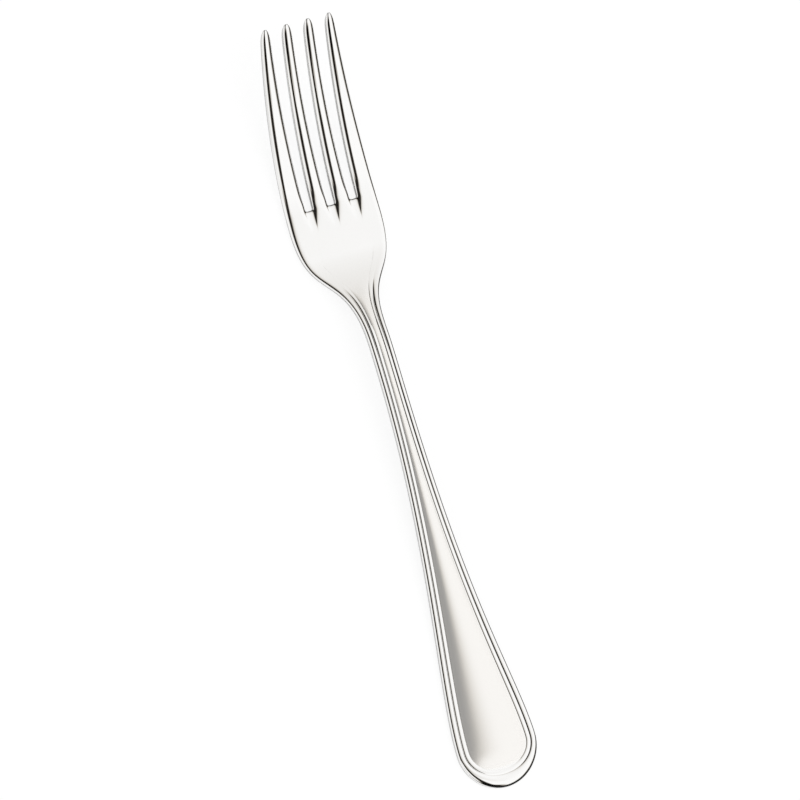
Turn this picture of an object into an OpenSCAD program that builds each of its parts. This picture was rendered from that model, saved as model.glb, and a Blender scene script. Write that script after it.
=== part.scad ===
// Serving fork in polished stainless steel, lying face up.
// A real one is a single forged blank. Here it is divided where a cutler names its parts:
// handle, neck, head and four tines, which meet face to face and never move.
// The handle's face carries a double-thread border: a rim, a groove, a fine thread and a crowned panel.
// Y runs from the handle's end to the tips, X runs across, Z runs up from the table.

/* [Overall] */
// Length from the end of the handle to the tips of the tines
overall_length = 240; // [220:1:260]
// Rise of the back of the tines at their tips over the table
tip_rise = 21.3; // [14:0.1:28]
// Rise of the back of the neck over the table
crest_rise = 6.7; // [3:0.1:11]

/* [Handle] */
// Greatest width of the handle, which is also the diameter of its round end
handle_width = 25.9; // [20:0.1:32]
// Thickness of the handle at its rim
handle_thickness = 2; // [1.6:0.1:4]
// Length at the end of the handle that lies flat on the table
handle_rest = 30; // [10:1:60]
// Pull of the curve that carries the full width up the handle
handle_fullness = 18.2; // [8:0.2:30]
// Pull of the curve that thins the handle into the neck
handle_taper = 65; // [40:1:80]

/* [Border] */
// Width of the outer rim along the neck
rim_neck_width = 1.5; // [1.2:0.05:1.8]
// Width of the outer rim at the handle's widest place
rim_width = 2; // [1.2:0.05:2.6]
// Width of the outer rim round the end of the handle
rim_end_width = 3.2; // [1.2:0.05:4]
// Width of the inner thread along the neck
thread_neck_width = 1.05; // [0.7:0.05:1.3]
// Width of the inner thread at the handle's widest place
thread_width = 1.4; // [0.7:0.05:2]
// Width of the inner thread round the end of the handle
thread_end_width = 1.8; // [0.7:0.05:2.4]
// Width of the groove between the rim and the thread
groove_width = 0.4; // [0.3:0.05:0.6]
// Depth of the groove between the rim and the thread
groove_depth = 0.16; // [0.1:0.02:0.6]
// Depth of the top of the thread below the rim
thread_step = 0.06; // [0:0.02:0.2]
// Depth of the panel's edge below the rim
panel_recess = 0.16; // [0.1:0.02:0.6]
// Rise of the panel's middle over its edge, at the handle's widest place
panel_crown = 0.65; // [0.2:0.05:1.5]
// Distance past the shoulder's start at which the border has run out
thread_run = 17; // [12:1:28]
// Length over which the border runs out
thread_fade = 8; // [6:1:18]

/* [Neck] */
// Width of the neck at its narrowest
neck_width = 7; // [6:0.1:10]
// Thickness of the neck at its crest
neck_thickness = 2.2; // [1.8:0.1:6]
// Length of the neck from the shoulder to the handle
neck_length = 46; // [30:1:60]
// Length of the straight stretch of the neck before the shoulder
neck_straight = 13; // [4:1:20]
// Distance of the neck's crest before the shoulder
crest_distance = 4; // [2:1:10]

/* [Head] */
// Greatest width of the head
head_width = 29.7; // [26:0.1:36]
// Thickness of the head
head_thickness = 1.8; // [1.6:0.1:3.5]
// Length of the head from the shoulder's start to the slot roots
head_length = 42; // [38:1:56]
// Length of the shoulder from the neck to the head's full width
shoulder_length = 37.5; // [30:0.5:38]
// Pull of the hollow curve where the neck becomes the shoulder
shoulder_hollow = 22.6; // [10:0.1:28]
// Pull of the round curve where the shoulder becomes the head
shoulder_round = 23.9; // [10:0.1:28]
// Distance from the slot roots back to the lowest place of the head
bowl_distance = 13; // [4:1:20]

/* [Tines] */
// Length of the tines from the slot roots to the tips
tine_length = 55; // [45:1:65]
// Thickness of the tines where their points begin
tine_thickness = 1.5; // [1.1:0.05:2.2]
// Width across the outer sides of the outer tines at the tips
tip_spread = 23.3; // [21:0.1:28]
// Length of the rounded point of each tine
tip_length = 3.5; // [2:0.1:8]
// Distance between neighbouring slots at their roots
slot_pitch = 7.35; // [6.6:0.05:7.6]
// Distance between neighbouring slots at the tips
slot_tip_pitch = 7.1; // [6.6:0.05:7.6]
// Width of each slot at its root
slot_width = 2.6; // [2:0.05:3]
// Width of each slot at the tips
slot_tip_width = 4.2; // [3.2:0.05:4.5]
// Radius of the corners at each slot root
slot_fillet = 0.4; // [0.3:0.05:0.9]
// Length of the groove that runs out of each slot root into the head
slot_runout = 6; // [2:0.5:9]
// Depth of that groove at the slot root
runout_depth = 0.85; // [0.4:0.05:1.1]

/* [Edges] */
// Width of the rounding of the face's edges on the handle and neck
edge_round = 0.55; // [0.3:0.05:0.9]
// Width of the rounding of the face's edges on the tines
tine_round = 1.75; // [0.5:0.05:2]
// Width of the rounding of the slots' edges at their roots
slot_round = 0.9; // [0.3:0.05:1.2]
// Rounding of the edges of the back
back_round = 0.3; // [0.2:0.05:0.4]

/* [Hidden] */
steel = [0.78, 0.78, 0.76];

// Places along the fork, counted from the end of the handle
end_radius = handle_width / 2;
root = overall_length - tine_length;
shoulder = root - head_length;
taper_end = shoulder - neck_straight;
seam = shoulder - neck_length;
crest = shoulder - crest_distance;
bowl = root - bowl_distance;
runout = root - slot_runout;

// Rows of points along each part
end_rows = 18;
handle_rows = 18;
neck_rows = 10;
head_rows = 20;
tine_rows = 16;
point_rows = 6;

// Half the slot between the fillets of its root
slot_floor = slot_width / 2 - slot_fillet;
// How much of the slot's width the point of its run-out groove keeps
runout_point = 0.5;
// Where past the shoulder the face's edges begin to get rounder, and over what length
round_start = 17;
round_run = 45;
// Length from the slot roots over which the slots' edges get rounder
slot_round_run = 5;
// Most of the thickness that the rounding of the face's edges takes, and most of a tine's width
round_depth = 0.75;
round_share = 0.42;
// Angles of the points of a rounding
round_angles = [0, 30, 60, 90];
// Panel columns on each side of the handle's centre line
panel_columns = 5;
// Exponent of the panel's crown: above 2 it is flatter in the middle
crown_power = 2.4;
// Exponent by which the border widens round the end of the handle
end_power = 3;

function mix(a, b, t) = a + (b - a) * t;
function ramp(t) = min(1, max(0, t));
function ease(t) = let (s = ramp(t)) s * s * (3 - 2 * s);
function cubic(p, t) =
  let (s = 1 - t)
  s * s * s * p[0] + 3 * s * s * t * p[1] + 3 * s * t * t * p[2] + t * t * t * p[3];
// Parameter at which a rising cubic reaches a value, by halving
function solve(p, value, low = 0, high = 1, steps = 32) =
  let (middle = (low + high) / 2)
  steps == 0 ? middle
  : cubic(p, middle) < value ? solve(p, value, middle, high, steps - 1)
  : solve(p, value, low, middle, steps - 1);

// Half the handle's width, from its round end to the neck
function flank(y) =
  let (
    along = [end_radius, end_radius + handle_fullness, taper_end - handle_taper, taper_end],
    widths = [end_radius, end_radius, neck_width / 2, neck_width / 2]
  )
  cubic(widths, solve(along, y));
// Half the width over the shoulder, from the neck to the head
function shoulders(y) =
  let (
    full = shoulder + shoulder_length,
    along = [shoulder, shoulder + shoulder_hollow, full - shoulder_round, full],
    widths = [neck_width / 2, neck_width / 2, head_width / 2, head_width / 2]
  )
  cubic(widths, solve(along, y));
// Half the width over the outer tines, from the slot roots to the tips
function side(y) =
  let (t = ramp((y - root) / tine_length))
  mix(head_width / 2, tip_spread / 2, pow(t, 1.5));
function half_width(y) =
  y <= end_radius ? end_radius
  : y < taper_end ? flank(y)
  : y <= shoulder ? neck_width / 2
  : y < shoulder + shoulder_length ? shoulders(y)
  : side(y);

// Height of the back over the table
function back(y) =
  y < crest ? crest_rise * ease((y - handle_rest) / (crest - handle_rest))
  : y < bowl ? crest_rise * ease((bowl - y) / (bowl - crest))
  : tip_rise * pow((y - bowl) / (overall_length - bowl), 2);
// Thickness of the blank
function thick(y) =
  y < crest ? mix(handle_thickness, neck_thickness, ease((y - handle_rest) / (crest - handle_rest)))
  : y < root ? mix(neck_thickness, head_thickness, ease((y - crest) / (bowl - crest)))
  : mix(head_thickness, tine_thickness, ramp((y - root) / (tine_length - tip_length)));

// Strength of the border: whole on the handle and neck, gone on the head
function border(y) = ease((shoulder + thread_run - y) / thread_fade);
// Share by which the columns of the head have spread out towards the slots
function settled(y) = ease((y - shoulder) / (runout - shoulder));
// Share by which the border is wide: with the handle's width, and again on the head
function widened(y) =
  y < shoulder ? (half_width(y) - neck_width / 2) / (end_radius - neck_width / 2) : settled(y);
function rim(y) = mix(rim_neck_width, rim_width, widened(y));
function thread(y) = mix(thread_neck_width, thread_width, widened(y));
// Drop of the crowned panel at a share of its half width, in step with the panel's width
function panel_drop(half, share, strength) =
  let (crown = panel_crown * half / (end_radius - rim_width - thread_width))
  strength * (panel_recess - crown * (1 - pow(share, crown_power)));

// Width of the rounding of the face's edges along the outline, and along a slot
function edge_width(y) = mix(edge_round, tine_round, ease((y - shoulder - round_start) / round_run));
function slot_edge(y) = mix(slot_round, tine_round, ease((y - root) / slot_round_run));
function edge_depth(y) = min(edge_width(y), round_depth * thick(y));
function slot_depth(y) = mix(runout_depth, round_depth * thick(y), ease((y - root) / slot_round_run));
// Rise of the back's rounding at an inset from the edge
function back_rise(inset) =
  let (left = max(0, back_round - inset))
  back_round - sqrt(back_round * back_round - left * left);

// Columns of a rounding, from the edge inwards: inset, drop of the face, rise of the back
function round_columns(width, depth) = [
  for (angle = round_angles)
    let (inset = width * (1 - cos(angle)))
    [inset, depth * (1 - sin(angle)), back_rise(inset)]
];
// Columns of the border inside the rounding
function border_columns(rim, thread, strength) =
  let (groove = groove_width / 2)
  [
    [rim - groove, 0, 0],
    [rim, groove_depth * strength, 0],
    [rim + groove, thread_step * strength, 0],
    [rim + thread - groove, thread_step * strength, 0],
    [rim + thread, panel_recess * strength, 0]
  ];

// Points of the face and the back over one place in plan
function lift(x, y, drop, rise) = [
  [x, y, back(y) + thick(y) - drop],
  [x, y, back(y) + rise]
];
function across(point) = [-point[0], point[1], point[2]];
// Whole row from the left edge to the right, from its right half listed from the edge to the centre line
function whole(half) = [
  for (pair = half) [across(pair[0]), across(pair[1])],
  for (i = [len(half) - 2 : -1 : 0]) half[i]
];

// One row of the handle's round end, at an angle down from the widest place
function end_row(angle) =
  let (
    turn = pow(sin(angle), end_power),
    rim = mix(rim_width, rim_end_width, turn),
    thread = mix(thread_width, thread_end_width, turn),
    columns = concat(round_columns(edge_round, edge_round), border_columns(rim, thread, 1)),
    panel = end_radius - rim - thread,
    out = [cos(angle), -sin(angle)]
  )
  whole([
    for (c = columns)
      let (p = (end_radius - c[0]) * out)
      lift(p[0], end_radius + p[1], c[1], c[2]),
    for (i = [1 : panel_columns])
      let (share = 1 - i / panel_columns, p = panel * share * out)
      lift(p[0], end_radius + p[1], panel_drop(panel, share, 1), 0)
  ]);

// Columns of the rounding and the border at one place along the fork
function side_columns(y) =
  concat(round_columns(edge_width(y), edge_depth(y)), border_columns(rim(y), thread(y), border(y)));

// One row across the handle or the neck
function shaft_row(y) =
  let (
    half = half_width(y),
    columns = side_columns(y),
    panel = half - rim(y) - thread(y)
  )
  whole([
    for (c = columns) lift(half - c[0], y, c[1], c[2]),
    for (i = [1 : panel_columns])
      let (share = 1 - i / panel_columns)
      lift(panel * share, y, panel_drop(panel, share, border(y)), 0)
  ]);

// Columns of the head between the borders, from the right side to the centre line:
// place at the slot roots as slot number and offset, with the depth of the run-out groove there
slot_edges = round_columns(slot_round, runout_depth);
slot_profile = [
  for (i = [len(slot_edges) - 1 : -1 : 0]) let (c = slot_edges[i]) [slot_floor + c[0], c[1], c[2]],
  [0, runout_depth, back_round]
];
head_columns = [
  for (c = slot_profile) [1, c[0], c[1], c[2]],
  for (i = [len(slot_profile) - 2 : -1 : 0])
    let (c = slot_profile[i])
    [1, -c[0], c[1], c[2]],
  [0.5, 0, 0, 0],
  for (c = slot_profile) [0, c[0], c[1], c[2]]
];

// One row across the head
function head_row(y) =
  let (
    half = half_width(y),
    columns = side_columns(y),
    panel = half - rim(y) - thread(y),
    full_panel = head_width / 2 - rim_width - thread_width,
    run = ramp((y - runout) / slot_runout),
    narrow = mix(runout_point, 1, run),
    count = len(head_columns)
  )
  whole([
    for (c = columns) lift(half - c[0], y, c[1], c[2]),
    for (i = [0 : count - 1])
      let (
        c = head_columns[i],
        even = 1 - (i + 1) / count,
        share = mix(even, (c[0] * slot_pitch + c[1] * narrow) / full_panel, settled(y))
      )
      lift(panel * share, y, panel_drop(panel, share, border(y)) + c[2] * run, c[3] * run)
  ]);

// Half the width of a slot, with the fillets at its root
function slot_half(y) =
  let (
    t = ramp((y - root) / tine_length),
    left = max(0, slot_fillet - (y - root)),
    fillet = slot_fillet - sqrt(slot_fillet * slot_fillet - left * left)
  )
  mix(slot_width, slot_tip_width, t) / 2 - fillet;
// Distance of the outer slots from the centre line
function slot_place(y) = mix(slot_pitch, slot_tip_pitch, ramp((y - root) / tine_length));
// Both sides of a tine of the right half, before its point closes
function tine_sides(outer, y) =
  outer ? [slot_place(y) + slot_half(y), side(y)]
  : [slot_half(y), slot_place(y) - slot_half(y)];

// One row across a tine, drawn in by a factor where its point closes
function tine_row(outer, y, close) =
  let (
    sides = tine_sides(outer, y),
    middle = (sides[0] + sides[1]) / 2,
    level = back(y) + thick(y) / 2,
    most = round_share * (sides[1] - sides[0]),
    left = round_columns(min(slot_edge(y), most), slot_depth(y)),
    right = outer ? round_columns(min(edge_width(y), most), edge_depth(y)) : left,
    columns = [
      for (c = left) [sides[0] + c[0], c[1], c[2]],
      [middle, 0, 0],
      for (i = [len(right) - 1 : -1 : 0]) let (c = right[i]) [sides[1] - c[0], c[1], c[2]]
    ]
  )
  [
    for (c = columns)
      let (x = mix(middle, c[0], close))
      [
        [x, y, level + (thick(y) / 2 - c[1]) * close],
        [x, y, level - (thick(y) / 2 - c[2]) * close]
      ]
  ];

// Solid between the faces and backs of a list of rows; an end that has closed to a fold gets no cap
module loft(rows, first_cap = true, last_cap = true) {
  count = len(rows);
  columns = len(rows[0]);
  floor_start = count * columns;
  points = [
    for (r = rows) for (p = r) p[0] - [0, overall_length / 2, 0],
    for (r = rows) for (p = r) p[1] - [0, overall_length / 2, 0]
  ];
  faces = [
    for (r = [0 : count - 2]) for (c = [0 : columns - 2])
      let (a = r * columns + c, b = a + 1, d = a + columns, e = d + 1)
      each [[a, d, e], [a, e, b]],
    for (r = [0 : count - 2]) for (c = [0 : columns - 2])
      let (a = floor_start + r * columns + c, b = a + 1, d = a + columns, e = d + 1)
      each [[a, e, d], [a, b, e]],
    for (r = [0 : count - 2])
      let (a = r * columns, d = a + columns, f = floor_start + a, g = f + columns)
      each [[a, f, g], [a, g, d]],
    for (r = [0 : count - 2])
      let (a = r * columns + columns - 1, d = a + columns, f = floor_start + a, g = f + columns)
      each [[a, d, g], [a, g, f]],
    if (first_cap) for (c = [0 : columns - 2])
      let (a = c, f = floor_start + c)
      each [[f, a, a + 1], [f, a + 1, f + 1]],
    if (last_cap) for (c = [0 : columns - 2])
      let (a = floor_start - columns + c, f = floor_start + a)
      each [[f, a + 1, a], [f, f + 1, a + 1]]
  ];
  polyhedron(points = points, faces = faces, convexity = 6);
}

// Handle with its round end and border, up to the seam with the neck
module handle() {
  color(steel) loft(concat(
    [for (i = [end_rows : -1 : 1]) end_row(90 * i / end_rows)],
    [for (i = [0 : handle_rows]) shaft_row(mix(end_radius, seam, i / handle_rows))]
  ), first_cap = false);
}

// Neck, from the seam with the handle to the start of the shoulder
module neck() {
  color(steel) loft([for (i = [0 : neck_rows]) shaft_row(mix(seam, shoulder, i / neck_rows))]);
}

// Head, from the start of the shoulder to the slot roots, with the run-out grooves
module head() {
  color(steel) loft([for (i = [0 : head_rows]) head_row(mix(shoulder, root, i / head_rows))]);
}

// Tine of the right half, from the slot root to its rounded point
module tine(outer) {
  neck_end = overall_length - tip_length;
  color(steel) loft(concat(
    [for (y = [0, 0.08, 0.3, 0.65]) tine_row(outer, root + y * slot_fillet, 1)],
    [for (i = [0 : tine_rows]) tine_row(outer, mix(root + slot_fillet, neck_end, i / tine_rows), 1)],
    [for (i = [1 : point_rows])
      let (turn = 90 * i / point_rows)
      tine_row(outer, neck_end + tip_length * sin(turn), cos(turn))]
  ), last_cap = false);
}

module left_outer_tine() {
  mirror([1, 0, 0]) tine(true);
}

module left_inner_tine() {
  mirror([1, 0, 0]) tine(false);
}

module right_inner_tine() {
  tine(false);
}

module right_outer_tine() {
  tine(true);
}

handle();
neck();
head();
left_outer_tine();
left_inner_tine();
right_inner_tine();
right_outer_tine();
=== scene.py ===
"""Serving fork of polished stainless steel, dressed over its CAD frame.

The fork is one smooth blank: a round-ended handle with a double-thread border, an arched neck, a broad head
and four tines. Its right half is laid out in plan as sheets of quads, whose lengthwise lines Line names.
The half is mirrored, thickened to the blank's rise and thickness, and rounded by subdivision.
"""

import logging
import math
from collections.abc import Callable, Mapping, Sequence
from dataclasses import dataclass, field, replace
from enum import Enum, IntEnum

import bmesh
import bpy
from mathutils import Matrix, Vector


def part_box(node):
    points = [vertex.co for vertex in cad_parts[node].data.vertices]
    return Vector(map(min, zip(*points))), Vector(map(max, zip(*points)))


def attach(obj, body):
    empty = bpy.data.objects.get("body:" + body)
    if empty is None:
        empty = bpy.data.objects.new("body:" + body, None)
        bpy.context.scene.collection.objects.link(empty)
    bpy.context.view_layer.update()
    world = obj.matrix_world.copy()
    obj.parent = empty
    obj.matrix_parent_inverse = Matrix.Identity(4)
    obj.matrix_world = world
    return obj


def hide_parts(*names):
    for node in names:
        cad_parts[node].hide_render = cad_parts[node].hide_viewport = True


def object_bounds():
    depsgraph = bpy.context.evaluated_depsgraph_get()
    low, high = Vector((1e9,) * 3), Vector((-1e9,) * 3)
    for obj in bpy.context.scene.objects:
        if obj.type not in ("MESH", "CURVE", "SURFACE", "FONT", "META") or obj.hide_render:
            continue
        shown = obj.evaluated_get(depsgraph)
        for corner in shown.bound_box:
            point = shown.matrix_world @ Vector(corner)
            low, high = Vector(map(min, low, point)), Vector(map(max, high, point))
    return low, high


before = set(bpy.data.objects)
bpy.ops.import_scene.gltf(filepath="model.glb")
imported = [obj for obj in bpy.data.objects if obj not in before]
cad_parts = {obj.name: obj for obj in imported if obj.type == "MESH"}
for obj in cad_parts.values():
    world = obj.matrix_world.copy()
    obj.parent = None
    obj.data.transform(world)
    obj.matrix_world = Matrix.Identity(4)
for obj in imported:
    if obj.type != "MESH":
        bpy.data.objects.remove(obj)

Pair = tuple[float, float]
Steps = tuple[Pair, Pair, Pair]
Stops = tuple[Pair, ...]
Colour = tuple[float, float, float]
Socket = bpy.types.NodeSocket
Inputs = Mapping[str | int, object]

CAD_BOX: tuple[Vector, Vector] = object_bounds()
MM: float = 0.001
QUARTER_TURN: float = math.pi / 2
HALVINGS: int = 40
UNIT: Pair = (0.0, 1.0)
WHITE: Colour = (1.0, 1.0, 1.0)
LOG: logging.Logger = logging.getLogger("serving_fork")


class Line(IntEnum):
    """Lengthwise lines of the right half, from the centre line out to the edge."""

    CENTRE = 0
    MIDDLE_SLOT_EDGE = 1
    INNER_TINE_LEFT_ROUND = 2
    INNER_TINE_LEFT = 3
    INNER_TINE_MIDDLE = 4
    INNER_TINE_RIGHT = 5
    INNER_TINE_RIGHT_ROUND = 6
    OUTER_SLOT_INSIDE = 7
    OUTER_SLOT_MIDDLE = 8
    OUTER_SLOT_OUTSIDE = 9
    OUTER_TINE_ROUND = 10
    OUTER_TINE_LEFT = 11
    PANEL_EDGE = 12
    THREAD_INSIDE = 13
    THREAD_OUTSIDE = 14
    GROOVE = 15
    RIM_INSIDE = 16
    RIM_OUTSIDE = 17
    EDGE_ROUND = 18
    EDGE = 19


class Sheet(Enum):
    """Sheets of the right half, each with its first and last line."""

    PANEL = (Line.CENTRE, Line.PANEL_EDGE)
    BORDER = (Line.PANEL_EDGE, Line.EDGE)
    INNER_TINE = (Line.MIDDLE_SLOT_EDGE, Line.OUTER_SLOT_INSIDE)
    OUTER_TINE = (Line.OUTER_SLOT_OUTSIDE, Line.EDGE)


class Ray(Enum):
    """Kinds of ray that see other surroundings than the rest, by their output of the Light Path node."""

    CAMERA = "Is Camera Ray"
    GLOSSY = "Is Glossy Ray"


def mix(first: float, last: float, share: float) -> float:
    """Value at a share of the way from first to last."""
    return first + (last - first) * share


def ramp(value: float) -> float:
    """Value limited to the range from 0 to 1."""
    return min(1.0, max(0.0, value))


def ease(value: float) -> float:
    """Smooth step from 0 to 1."""
    share = ramp(value)
    return share * share * (3 - 2 * share)


def spaced(first: float, last: float, count: int, power: float = 1.0) -> list[float]:
    """Values from just after first up to last, closer together near first for a power above 1."""
    return [mix(first, last, (step / count) ** power) for step in range(1, count + 1)]


def cubic(points: Sequence[float], share: float) -> float:
    """Value of a cubic Bezier curve.

    Args:
        points: The four control values.
        share: Place along the curve, from 0 to 1.

    Returns:
        The value there.
    """
    rest = 1 - share
    return (
        rest**3 * points[0]
        + 3 * rest * rest * share * points[1]
        + 3 * rest * share * share * points[2]
        + share**3 * points[3]
    )


def halved(holds: Callable[[float], bool], high: float) -> float:
    """Largest value from 0 to high at which a test holds, found by halving the range.

    Args:
        holds: Test that holds up to the value and fails beyond it.
        high: End of the range.

    Returns:
        The value.
    """
    low = 0.0
    for _ in range(HALVINGS):
        middle = (low + high) / 2
        if holds(middle):
            low = middle
        else:
            high = middle
    return low


def rgba(colour: Colour) -> tuple[float, float, float, float]:
    """Colour as a socket takes it."""
    return (*colour, 1.0)


def placed(name: str, mesh: bmesh.types.BMesh) -> bpy.types.Object:
    """Puts a finished mesh into the scene and frees its workings.

    Args:
        name: Name of the object and of its mesh.
        mesh: The finished mesh.

    Returns:
        The object.
    """
    data = bpy.data.meshes.new(name)
    mesh.to_mesh(data)
    mesh.free()
    made = bpy.data.objects.new(name, data)
    bpy.context.scene.collection.objects.link(made)
    return made


@dataclass(frozen=True)
class Sweep:
    """Flowing curve of half widths along the fork, level at both ends. Sizes are in millimetres."""

    start: float
    end: float
    start_pull: float
    end_pull: float
    start_width: float
    end_width: float

    def width(self, reach: float) -> float:
        """Half width at a distance from the end of the handle.

        Args:
            reach: Distance from the end of the handle.

        Returns:
            The half width there.
        """
        along = (self.start, self.start + self.start_pull, self.end - self.end_pull, self.end)
        widths = (self.start_width, self.start_width, self.end_width, self.end_width)
        return cubic(widths, halved(lambda share: cubic(along, share) < reach, 1.0))


@dataclass(frozen=True)
class Places:
    """Places along the fork in millimetres from the end of the handle, read off the CAD nodes."""

    length: float
    shoulder: float
    root: float
    neck_straight: float = 13.0
    crest_distance: float = 4.0
    bowl_distance: float = 13.0

    @classmethod
    def from_frame(cls) -> "Places":
        """Places taken from the boxes of the CAD nodes.

        Returns:
            The places.
        """
        start = CAD_BOX[0].y
        head_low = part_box("head")[0].y
        tine_low, tine_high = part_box("right_inner_tine")
        return cls((tine_high.y - start) / MM, (head_low - start) / MM, (tine_low.y - start) / MM)

    @property
    def taper_end(self) -> float:
        """Where the handle has thinned to the neck."""
        return self.shoulder - self.neck_straight

    @property
    def crest(self) -> float:
        """Highest place of the neck."""
        return self.shoulder - self.crest_distance

    @property
    def bowl(self) -> float:
        """Lowest place of the head."""
        return self.root - self.bowl_distance


@dataclass(frozen=True)
class Spine:
    """Rise and thickness of the blank along the fork. Sizes are in millimetres."""

    places: Places
    rest: float = 30.0  # length of the handle that lies flat on the table
    crest_rise: float = 6.7
    tip_rise: float = 21.3
    handle_thickness: float = 2.0
    neck_thickness: float = 2.2
    head_thickness: float = 1.8
    tine_thickness: float = 1.5
    tip_length: float = 3.5  # length of a tine's rounded point

    def back(self, reach: float) -> float:
        """Height of the back over the table.

        Args:
            reach: Distance from the end of the handle.

        Returns:
            The height there.
        """
        places = self.places
        if reach < places.crest:
            return self.crest_rise * ease((reach - self.rest) / (places.crest - self.rest))
        if reach < places.bowl:
            return self.crest_rise * ease((places.bowl - reach) / (places.bowl - places.crest))
        return self.tip_rise * ((reach - places.bowl) / (places.length - places.bowl)) ** 2

    def thickness(self, reach: float) -> float:
        """Thickness of the blank, before a tine's point closes.

        Args:
            reach: Distance from the end of the handle.

        Returns:
            The thickness there.
        """
        places = self.places
        if reach < places.crest:
            share = ease((reach - self.rest) / (places.crest - self.rest))
            return mix(self.handle_thickness, self.neck_thickness, share)
        if reach < places.root:
            share = ease((reach - places.crest) / (places.bowl - places.crest))
            return mix(self.neck_thickness, self.head_thickness, share)
        share = ramp((reach - places.root) / (places.length - self.tip_length - places.root))
        return mix(self.head_thickness, self.tine_thickness, share)

    def closing(self, reach: float) -> float:
        """Share of a tine's width and thickness that its rounded point leaves."""
        into = ramp((reach - self.places.length + self.tip_length) / self.tip_length)
        return math.sqrt(1 - into * into)


@dataclass(frozen=True)
class Outline:
    """Half widths of the blank in plan. Sizes are in millimetres."""

    places: Places
    end_radius: float
    head_half: float
    head_swell: float = 0.2  # how far the head stands out past the CAD head, on either side
    neck_half: float = 3.5
    tip_half: float = 11.95
    fullness: float = 18.2  # pull of the handle's side at its widest place
    taper: float = 65.0  # pull of the handle's side at the neck
    shoulder_length: float = 37.5
    shoulder_hollow: float = 22.6  # pull of the shoulder at the neck
    shoulder_round: float = 23.9  # pull of the shoulder at the head
    side_bow: float = 1.5  # exponent of the outer tines' lean towards the tips
    slope_step: float = 0.05

    @classmethod
    def from_frame(cls, places: Places) -> "Outline":
        """Outline with the widths of the CAD handle and head."""
        made = cls(places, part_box("handle")[1].x / MM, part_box("head")[1].x / MM)
        return replace(made, head_half=made.head_half + made.head_swell)

    @property
    def flank(self) -> Sweep:
        """Side of the handle, from its widest place to the neck."""
        ends = (self.end_radius, self.places.taper_end)
        return Sweep(*ends, self.fullness, self.taper, self.end_radius, self.neck_half)

    @property
    def shoulder(self) -> Sweep:
        """Side of the shoulder, from the neck to the head's full width."""
        ends = (self.places.shoulder, self.places.shoulder + self.shoulder_length)
        return Sweep(*ends, self.shoulder_hollow, self.shoulder_round, self.neck_half, self.head_half)

    def half_width(self, reach: float) -> float:
        """Half width of the blank, past the handle's round end.

        Args:
            reach: Distance from the end of the handle.

        Returns:
            The half width there.
        """
        places = self.places
        if reach <= self.end_radius:
            return self.end_radius
        if reach < places.taper_end:
            return self.flank.width(reach)
        if reach <= places.shoulder:
            return self.neck_half
        if reach < self.shoulder.end:
            return self.shoulder.width(reach)
        share = ramp((reach - places.root) / (places.length - places.root))
        return mix(self.head_half, self.tip_half, share**self.side_bow)

    def slope(self, reach: float) -> float:
        """Growth of the half width per length."""
        step = self.slope_step
        return (self.half_width(reach + step) - self.half_width(reach - step)) / (2 * step)


@dataclass(frozen=True)
class Rounding:
    """Rounding of the edges of the face, and the cage that makes it. Sizes are in millimetres."""

    places: Places
    spine: Spine
    handle: float = 0.55  # width along the handle's sides
    handle_end: float = 1.7  # width round the handle's end
    tine: float = 1.75  # width along the slots
    side: float = 1.8  # width along the outer sides of the tines
    slot_root: float = 1.1  # width at the slot roots
    slot_run: float = 5.5  # length over which it grows from a slot's root
    runout_depth: float = 0.42  # depth at the slot roots
    grow_start: float = 17.0  # where the outline's rounding starts to grow, past the shoulder's start
    grow_length: float = 50.0
    swell: float = 0.3  # extra width on the shoulder
    swell_place: float = 18.0
    swell_length: float = 7.0
    most_of_tine: float = 0.42  # most of a tine's width that one of its sides takes
    most_at_tip: float = 0.33
    tip_start: float = 35.0  # where that share starts to shrink, before the tips
    tip_run: float = 25.0
    most_of_thickness: float = 0.75
    support: float = 1.05  # where the flat face starts, as a share of the width
    corner: float = 0.22  # inset and drop of the cage's corner, as shares of the width and depth
    rim_corner: float = 0.28  # the same along the handle's sides
    outset: float = 0.04  # how far the cage stands out past the outline, as a share of the width
    back_rise: float = 0.1  # height of the rounding along the back's edge

    def grown(self, reach: float) -> float:
        """Share by which the rounding along the outline has grown to that of the tines."""
        return ease((reach - self.places.shoulder - self.grow_start) / self.grow_length)

    def outer(self, reach: float, turn: float = 0.0) -> float:
        """Width of the rounding along the outline.

        Args:
            reach: Distance from the end of the handle.
            turn: Angle round the handle's end.

        Returns:
            The width there.
        """
        handle = mix(self.handle, self.handle_end, math.sin(turn))
        past = abs(reach - self.places.shoulder - self.swell_place)
        return mix(handle, self.side, self.grown(reach)) + self.swell * ease(1 - past / self.swell_length)

    def outer_corner(self, reach: float, turn: float = 0.0) -> float:
        """Share of the rounding along the outline that the cage's corner cuts off."""
        return mix(self.rim_corner, self.corner, max(self.grown(reach), math.sin(turn)))

    def outer_depth(self, reach: float, turn: float = 0.0) -> float:
        """Depth of the rounding along the outline."""
        return min(self.outer(reach, turn), self.most_of_thickness * self.spine.thickness(reach))

    def slot(self, reach: float) -> float:
        """Width of the rounding along a slot."""
        return mix(self.slot_root, self.tine, ease((reach - self.places.root) / self.slot_run))

    def slot_depth(self, reach: float) -> float:
        """Depth of the rounding along a slot."""
        whole = self.most_of_thickness * self.spine.thickness(reach)
        return mix(self.runout_depth, whole, ease((reach - self.places.root) / self.slot_run))

    def most(self, reach: float) -> float:
        """Most of a tine's width that the rounding of one of its sides takes."""
        share = ease((reach - self.places.length + self.tip_start) / self.tip_run)
        return mix(self.most_of_tine, self.most_at_tip, share)

    def steps(self, width: float, depth: float, corner: Pair) -> Steps:
        """Inset and drop of the cage's lines over a rounding: its edge, its corner and the flat face."""
        inset, drop = corner
        return (-self.outset * width, depth), (inset * width, drop * depth), (self.support * width, 0.0)


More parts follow.
